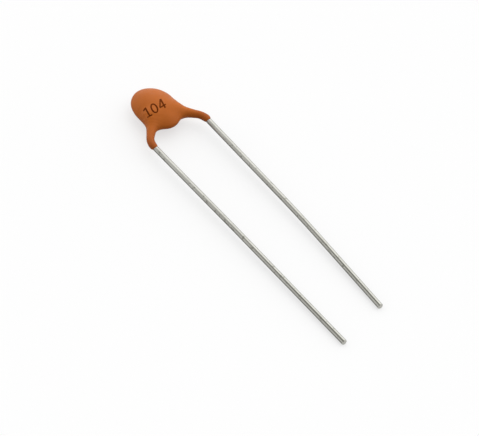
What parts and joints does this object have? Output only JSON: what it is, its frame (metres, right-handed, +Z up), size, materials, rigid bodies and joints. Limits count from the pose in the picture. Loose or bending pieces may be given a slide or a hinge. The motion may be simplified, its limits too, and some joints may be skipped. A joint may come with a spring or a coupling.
{
  "type": "ceramic disc capacitor",
  "caption": "Small ceramic disc capacitor: a dipped resin drop over a silvered ceramic disc, with two long kinked wire leads for soldering into a circuit board.",
  "frame": {"origin": "on the table, under the middle of the part's overall box", "axes": "+Y from the lead tips to the top of the drop, +X towards the right lead, +Z up from the table"},
  "size_m": [0.0056, 0.03, 0.0019],
  "materials": {
    "resin": "satin dipped resin",
    "ceramic": "sintered, unglazed",
    "silver": "fired silver, matt",
    "solder": "bright solder",
    "tinned_wire": "drawn, tinned"
  },
  "bodies": {
    "root": {"coating": "resin", "ceramic_disc": "ceramic", "upper_electrode": "silver", "lower_electrode": "silver", "upper_solder": "solder", "lower_solder": "solder", "left_lead": "tinned_wire", "right_lead": "tinned_wire"}
  },
  "joints": []
}
